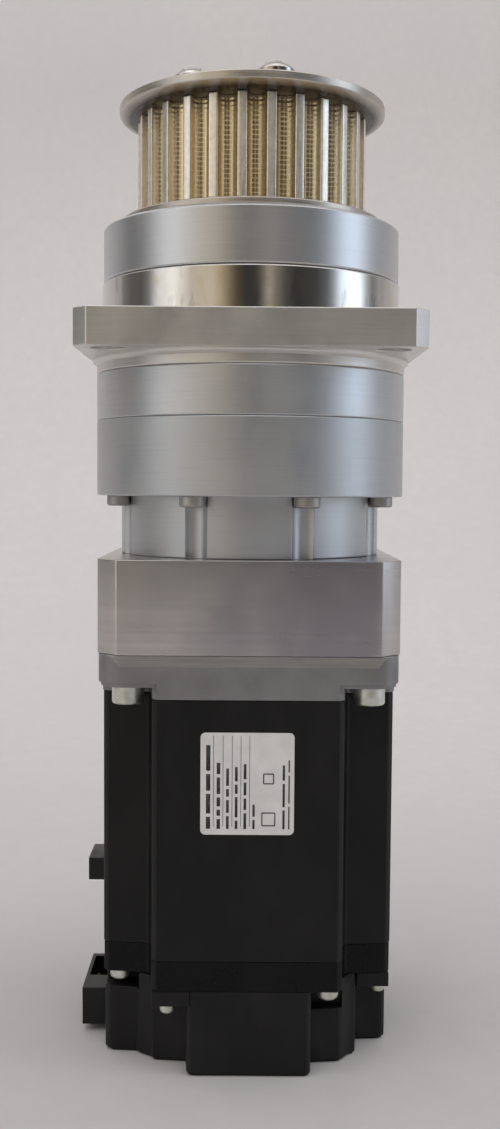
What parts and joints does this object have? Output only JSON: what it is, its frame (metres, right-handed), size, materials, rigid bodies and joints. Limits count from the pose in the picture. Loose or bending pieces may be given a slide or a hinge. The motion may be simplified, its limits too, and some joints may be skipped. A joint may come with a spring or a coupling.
{
  "type": "geared servo motor with belt pulley",
  "caption": "Square-flanged motor and inline planetary reducer in one line, driving a flanged toothed belt pulley.",
  "frame": {"origin": "on the drive axis, in the plane of the square flange face that the machine plate seats on", "axes": "+Z along the drive axis towards the belt pulley, -Y towards the side with the label, -X towards the two sockets"},
  "size_m": [0.093, 0.0912, 0.2709],
  "materials": {
    "flange_metal": "fine machined and anodised",
    "register_steel": "ground and polished",
    "ring_metal": "satin anodised",
    "gear_steel": "ground, oiled",
    "bearing_steel": "polished",
    "cage_brass": "machined",
    "bright_screws": "zinc plated",
    "black_screws": "black oxide",
    "seal_rubber": "moulded",
    "plate_metal": "milled",
    "hub_metal": "satin anodised",
    "pulley_metal": "nickel-toned, machined teeth",
    "pulley_disc_metal": "satin nickel",
    "cast_metal": "die cast",
    "body_black": "satin black",
    "bracket_black": "semi-gloss black",
    "cover_plastic": "moulded, fine grain",
    "core_steel": "stamped laminations",
    "copper": "enamelled copper wire",
    "magnet": "nickel plated",
    "disc_glass": "etched glass",
    "board": "solder mask",
    "socket_plastic": "moulded",
    "pin_metal": "gold plated"
  },
  "bodies": {
    "housing": {"flange_housing": "flange_metal", "register_sleeve": "register_steel", "spacer_ring": "ring_metal", "gear_housing": "ring_metal", "ring_gear": "gear_steel", "housing_screws": "bright_screws", "output_bearing_outer": "bearing_steel", "output_seal": "seal_rubber", "input_bearing_outer": "bearing_steel", "input_seal": "seal_rubber", "adapter_plate": "plate_metal", "adapter_screws": "bright_screws", "access_plug": "seal_rubber", "motor_flange": "cast_metal", "motor_bolts": "bright_screws", "motor_seal": "seal_rubber", "stator_frame": "body_black", "stator_core": "core_steel", "stator_windings": "copper", "motor_bearing_outer": "bearing_steel", "rear_bracket": "bracket_black", "bracket_screws": "bright_screws", "encoder_board": "board", "board_screws": "bright_screws", "encoder_cover": "cover_plastic", "cover_screws": "bright_screws", "connectors": "socket_plastic", "connector_pins": "pin_metal"},
    "output": {"planet_carrier": "gear_steel", "planet_pins": "bearing_steel", "output_bearing_inner": "bearing_steel", "bearing_nut": "bearing_steel", "drive_hub": "hub_metal", "hub_screws": "black_screws", "belt_pulley": "pulley_metal", "pulley_top_disc": "pulley_disc_metal", "pulley_low_disc": "pulley_disc_metal", "pulley_screws": "bright_screws"},
    "rotor": {"input_shaft": "gear_steel", "clamp_collar": "black_screws", "clamp_screw": "bright_screws", "motor_shaft": "bearing_steel", "rotor_core": "core_steel", "rotor_magnets": "magnet", "encoder_disc": "disc_glass", "input_bearing_inner": "bearing_steel", "motor_bearing_inner": "bearing_steel"},
    "output_cage": {"output_bearing_cage": "cage_brass", "output_bearing_balls": "bearing_steel"},
    "input_cage": {"input_bearing_cage": "cage_brass", "input_bearing_balls": "bearing_steel"},
    "motor_cages": {"motor_bearing_balls": "bearing_steel"},
    "planet_body_1": {"planet_1": "gear_steel"},
    "needle_body_1": {"needles_1": "bearing_steel"},
    "planet_body_2": {"planet_2": "gear_steel"},
    "needle_body_2": {"needles_2": "bearing_steel"},
    "planet_body_3": {"planet_3": "gear_steel"},
    "needle_body_3": {"needles_3": "bearing_steel"},
    "planet_body_4": {"planet_4": "gear_steel"},
    "needle_body_4": {"needles_4": "bearing_steel"}
  },
  "joints": [
    {"name": "output_spin", "type": "hinge", "parent": "housing", "child": "output", "pos_m": [0, 0, 0], "axis": [0, 0, 1], "continuous": true},
    {"name": "motor_spin", "type": "hinge", "parent": "housing", "child": "rotor", "pos_m": [0, 0, -0.06], "axis": [0, 0, 1], "continuous": true},
    {"name": "output_cage_spin", "type": "hinge", "parent": "housing", "child": "output_cage", "pos_m": [0, 0, -0.005], "axis": [0, 0, 1], "continuous": true},
    {"name": "input_cage_spin", "type": "hinge", "parent": "housing", "child": "input_cage", "pos_m": [0, 0, -0.0553], "axis": [0, 0, 1], "continuous": true},
    {"name": "motor_cage_spin", "type": "hinge", "parent": "housing", "child": "motor_cages", "pos_m": [0, 0, -0.1], "axis": [0, 0, 1], "continuous": true},
    {"name": "planet_1_spin", "type": "hinge", "parent": "output", "child": "planet_body_1", "pos_m": [0.02, 0, -0.0375], "axis": [0, 0, 1], "continuous": true},
    {"name": "planet_2_spin", "type": "hinge", "parent": "output", "child": "planet_body_2", "pos_m": [0, 0.02, -0.0375], "axis": [0, 0, 1], "continuous": true},
    {"name": "planet_3_spin", "type": "hinge", "parent": "output", "child": "planet_body_3", "pos_m": [-0.02, 0, -0.0375], "axis": [0, 0, 1], "continuous": true},
    {"name": "planet_4_spin", "type": "hinge", "parent": "output", "child": "planet_body_4", "pos_m": [0, -0.02, -0.0375], "axis": [0, 0, 1], "continuous": true},
    {"name": "needles_1_spin", "type": "hinge", "parent": "output", "child": "needle_body_1", "pos_m": [0.02, 0, -0.0375], "axis": [0, 0, 1], "continuous": true},
    {"name": "needles_2_spin", "type": "hinge", "parent": "output", "child": "needle_body_2", "pos_m": [0, 0.02, -0.0375], "axis": [0, 0, 1], "continuous": true},
    {"name": "needles_3_spin", "type": "hinge", "parent": "output", "child": "needle_body_3", "pos_m": [-0.02, 0, -0.0375], "axis": [0, 0, 1], "continuous": true},
    {"name": "needles_4_spin", "type": "hinge", "parent": "output", "child": "needle_body_4", "pos_m": [0, -0.02, -0.0375], "axis": [0, 0, 1], "continuous": true}
  ],
  "couplings": [
    {"joint": "motor_spin", "follows": "output_spin", "ratio": 5},
    {"joint": "output_cage_spin", "follows": "output_spin", "ratio": 0.44655},
    {"joint": "input_cage_spin", "follows": "output_spin", "ratio": 2.1623},
    {"joint": "motor_cage_spin", "follows": "output_spin", "ratio": 1.9839},
    {"joint": "planet_1_spin", "follows": "output_spin", "ratio": -2.6667},
    {"joint": "planet_2_spin", "follows": "output_spin", "ratio": -2.6667},
    {"joint": "planet_3_spin", "follows": "output_spin", "ratio": -2.6667},
    {"joint": "planet_4_spin", "follows": "output_spin", "ratio": -2.6667},
    {"joint": "needles_1_spin", "follows": "output_spin", "ratio": -1.6},
    {"joint": "needles_2_spin", "follows": "output_spin", "ratio": -1.6},
    {"joint": "needles_3_spin", "follows": "output_spin", "ratio": -1.6},
    {"joint": "needles_4_spin", "follows": "output_spin", "ratio": -1.6}
  ]
}
